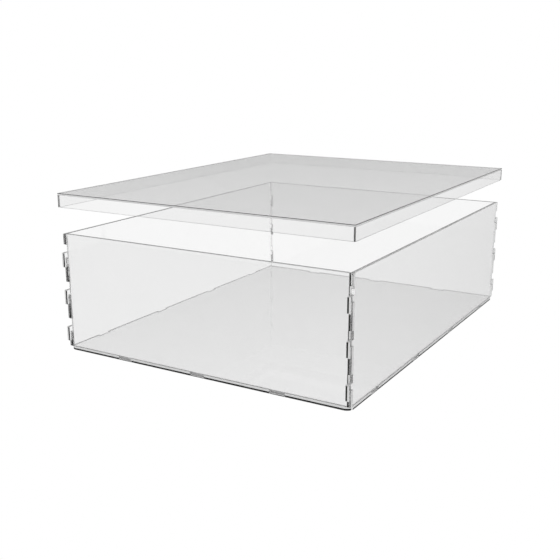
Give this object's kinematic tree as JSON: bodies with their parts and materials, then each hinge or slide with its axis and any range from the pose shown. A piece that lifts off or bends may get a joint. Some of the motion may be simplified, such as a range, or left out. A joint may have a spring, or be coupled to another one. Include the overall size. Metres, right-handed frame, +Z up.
{
  "type": "shoe box",
  "caption": "Shallow clear shoe box of flat interlocking panels with a loose shallow lid.",
  "frame": {"origin": "on the surface the box stands on, under the middle of the base", "axes": "+Z up, +X along the width to the right, +Y along the depth to the back"},
  "size_m": [0.2836, 0.356, 0.1417],
  "materials": {
    "clear_sheet": "clear polished cast acrylic, 3 mm, laser-cut edges",
    "clear_lid_sheet": "clear polished cast acrylic, 1.5 mm, laser-cut edges"
  },
  "bodies": {
    "box": {"base_panel": "clear_sheet", "front_panel": "clear_sheet", "back_panel": "clear_sheet", "left_panel": "clear_sheet", "right_panel": "clear_sheet"},
    "lid": {"lid_top": "clear_lid_sheet", "lid_rim_front": "clear_lid_sheet", "lid_rim_back": "clear_lid_sheet", "lid_rim_left": "clear_lid_sheet", "lid_rim_right": "clear_lid_sheet"}
  },
  "joints": [
    {"name": "lid_lift", "type": "slide", "parent": "box", "child": "lid", "axis": [0, 0, 1], "range_m": [-0.0339, 0.12]}
  ]
}
